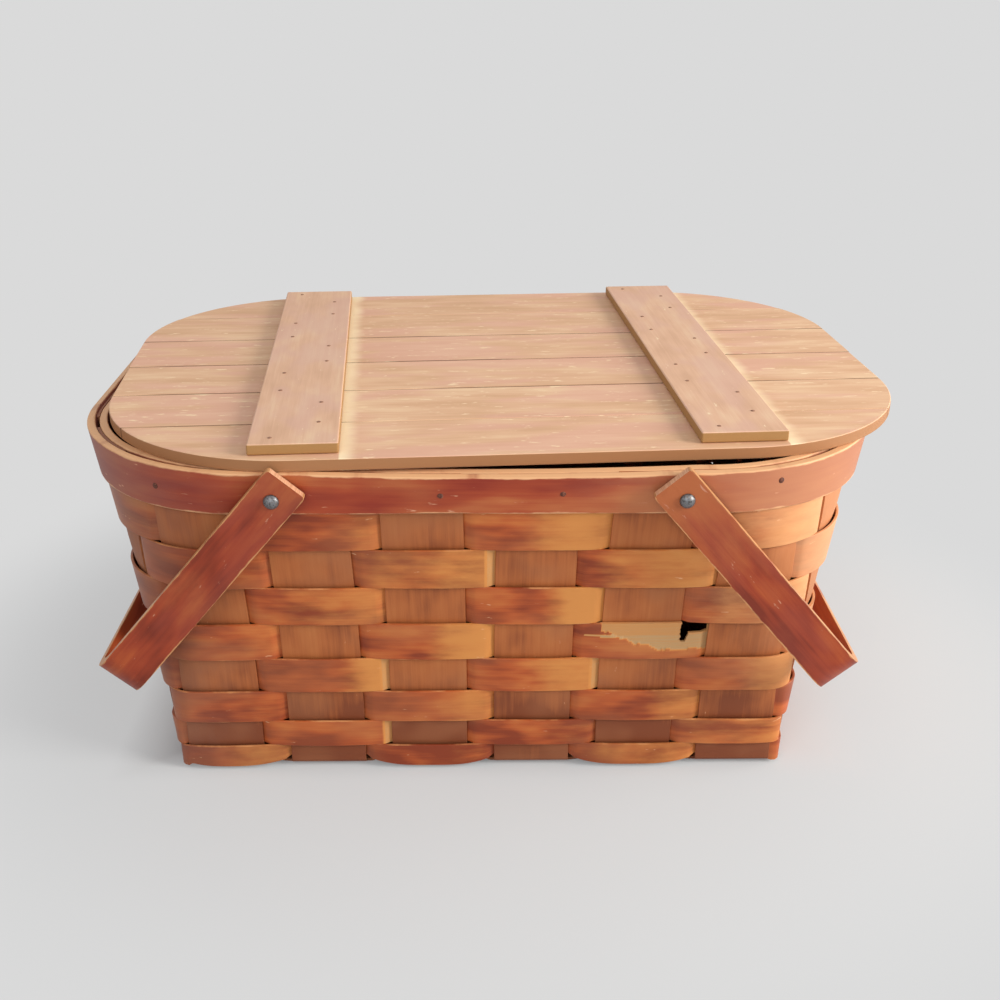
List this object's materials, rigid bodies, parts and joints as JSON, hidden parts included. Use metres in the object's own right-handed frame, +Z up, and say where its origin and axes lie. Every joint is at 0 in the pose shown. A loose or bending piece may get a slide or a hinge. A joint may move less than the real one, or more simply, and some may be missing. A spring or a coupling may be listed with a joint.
{
  "type": "picnic basket",
  "caption": "Flat-splint woven basket with a rounded rim, swing handles on riveted pivots and a loose plank lid held by nailed battens.",
  "frame": {"origin": "centre of the bounding box, on the plane that the basket stands on", "axes": "+Z up, +X along the length towards the end where the lid overhangs, the front on -Y"},
  "size_m": [0.5042, 0.3922, 0.2293],
  "materials": {
    "stake_wood": "bare ash splint, stained brown and dull",
    "weaver_wood": "red-brown stain under worn varnish, honey coloured where rubbed",
    "rim_wood": "red-brown stain, pale along the worn top edge",
    "handle_wood": "dark red stain with rubbed edges",
    "lid_wood": "pale tan planks, dull and weathered",
    "batten_wood": "greyish tan, dull and weathered",
    "dark_steel": "dark oxidised steel"
  },
  "bodies": {
    "basket": {"cross_stake_1": "stake_wood", "cross_stake_2": "stake_wood", "cross_stake_3": "stake_wood", "cross_stake_4": "stake_wood", "cross_stake_5": "stake_wood", "cross_stake_6": "stake_wood", "long_stake_1": "stake_wood", "long_stake_2": "stake_wood", "long_stake_3": "stake_wood", "long_stake_4": "stake_wood", "long_stake_5": "stake_wood", "weaver_1": "weaver_wood", "weaver_2": "weaver_wood", "weaver_3": "weaver_wood", "weaver_4": "weaver_wood", "weaver_5": "weaver_wood", "weaver_6": "weaver_wood", "weaver_7": "weaver_wood", "weaver_8": "weaver_wood", "rim_outer_hoop": "rim_wood", "rim_inner_hoop": "rim_wood", "left_front_rivet": "dark_steel", "left_back_rivet": "dark_steel", "right_front_rivet": "dark_steel", "right_back_rivet": "dark_steel"},
    "left_handle": {"left_handle": "handle_wood"},
    "right_handle": {"right_handle": "handle_wood"},
    "lid": {"lid_plank_1": "lid_wood", "lid_plank_2": "lid_wood", "lid_plank_3": "lid_wood", "lid_plank_4": "lid_wood", "lid_plank_5": "lid_wood", "lid_plank_6": "lid_wood", "left_batten": "batten_wood", "left_batten_nail_1": "dark_steel", "left_batten_nail_2": "dark_steel", "left_batten_nail_3": "dark_steel", "left_batten_nail_4": "dark_steel", "left_batten_nail_5": "dark_steel", "left_batten_nail_6": "dark_steel", "left_batten_nail_7": "dark_steel", "left_batten_nail_8": "dark_steel", "left_batten_nail_9": "dark_steel", "left_batten_nail_10": "dark_steel", "left_batten_nail_11": "dark_steel", "left_batten_nail_12": "dark_steel", "right_batten": "batten_wood", "right_batten_nail_1": "dark_steel", "right_batten_nail_2": "dark_steel", "right_batten_nail_3": "dark_steel", "right_batten_nail_4": "dark_steel", "right_batten_nail_5": "dark_steel", "right_batten_nail_6": "dark_steel", "right_batten_nail_7": "dark_steel", "right_batten_nail_8": "dark_steel", "right_batten_nail_9": "dark_steel", "right_batten_nail_10": "dark_steel", "right_batten_nail_11": "dark_steel", "right_batten_nail_12": "dark_steel"}
  },
  "joints": [
    {"name": "left_handle_swing", "type": "hinge", "parent": "basket", "child": "left_handle", "pos_m": [-0.12315, 0, 0.2], "axis": [0, 1, 0], "range_deg": [0, 181.5]},
    {"name": "right_handle_swing", "type": "hinge", "parent": "basket", "child": "right_handle", "pos_m": [0.10488, 0, 0.2], "axis": [0, -1, 0], "range_deg": [0, 181.5]},
    {"name": "lid_lift", "type": "slide", "parent": "basket", "child": "lid", "axis": [0, 0, 1], "range_m": [0, 0.15]}
  ]
}
